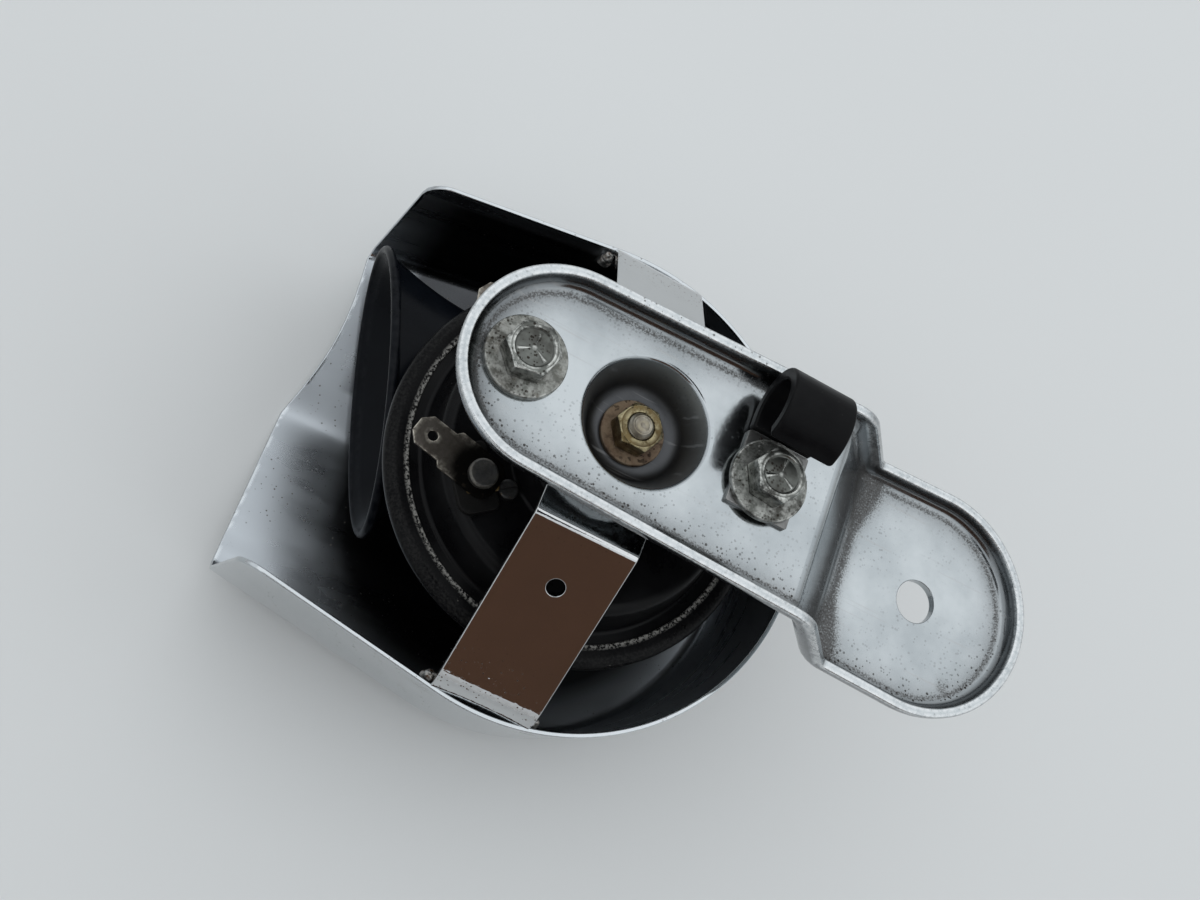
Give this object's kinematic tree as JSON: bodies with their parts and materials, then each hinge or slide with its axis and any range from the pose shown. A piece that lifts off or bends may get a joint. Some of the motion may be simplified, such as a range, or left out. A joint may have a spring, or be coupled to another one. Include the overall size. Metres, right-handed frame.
{
  "type": "car horn",
  "caption": "Electric vehicle horn in a chromed U-shaped cover, hung from a pressed spoon-shaped bracket with a mounting eye and a coated cable clip.",
  "frame": {"origin": "centre of the bracket's mounting hole, on the floor that takes the vehicle bolt's head", "axes": "+Z out of the horn's back, along the stud and the mounting hole; -X along the bracket from the hole to the horn, the way the sound leaves"},
  "size_m": [0.1836, 0.128, 0.1243],
  "materials": {
    "bracket_plate": "worn chrome plate on pressed steel",
    "zinc_bolt": "dull zinc plate",
    "clip_steel": "bare zinc-plated strip",
    "black_vinyl": "dipped vinyl",
    "core_steel": "turned steel",
    "yellow_zinc": "yellow passivated zinc",
    "rusted_washer": "rust-stained steel",
    "cover_chrome": "bright chrome",
    "strap_chrome": "bright chrome, pitted at the bends",
    "weld_metal": "plated weld bead",
    "black_enamel": "gloss black enamel",
    "rim_enamel": "black enamel, worn through on the lip",
    "gasket_fibre": "pressed fibre",
    "spring_steel": "blue-grey spring steel",
    "coil_nylon": "natural nylon",
    "coil_copper": "enamelled copper wire",
    "insulator_fibre": "black phenolic",
    "contact_brass": "brass",
    "contact_metal": "tungsten",
    "tinned_blade": "tarnished tin on brass",
    "terminal_rivet": "dull plated steel",
    "trumpet_black": "moulded black plastic"
  },
  "bodies": {
    "root": {"bracket": "bracket_plate", "bracket_bolts": "zinc_bolt", "bolt_washers": "zinc_bolt", "bolt_nuts": "zinc_bolt", "cable_clip": "clip_steel", "clip_sleeve": "black_vinyl", "core_stud": "core_steel", "stud_nut": "yellow_zinc", "stud_washer": "rusted_washer", "core_nut": "core_steel", "cover_shell": "cover_chrome", "cover_strap": "strap_chrome", "strap_welds": "weld_metal", "back_housing": "black_enamel", "front_plate": "rim_enamel", "rim_gaskets": "gasket_fibre", "diaphragm": "spring_steel", "armature": "core_steel", "coil_bobbin": "coil_nylon", "coil_winding": "coil_copper", "contact_block": "insulator_fibre", "fixed_contact_spring": "contact_brass", "contact_spacer": "insulator_fibre", "moving_contact_spring": "spring_steel", "contact_points": "contact_metal", "contact_rivet": "contact_brass", "lower_terminal": "tinned_blade", "upper_terminal": "tinned_blade", "terminal_insulators": "insulator_fibre", "terminal_washers": "contact_brass", "terminal_rivets": "terminal_rivet", "adjusting_screw": "terminal_rivet", "trumpet": "trumpet_black"}
  },
  "joints": []
}
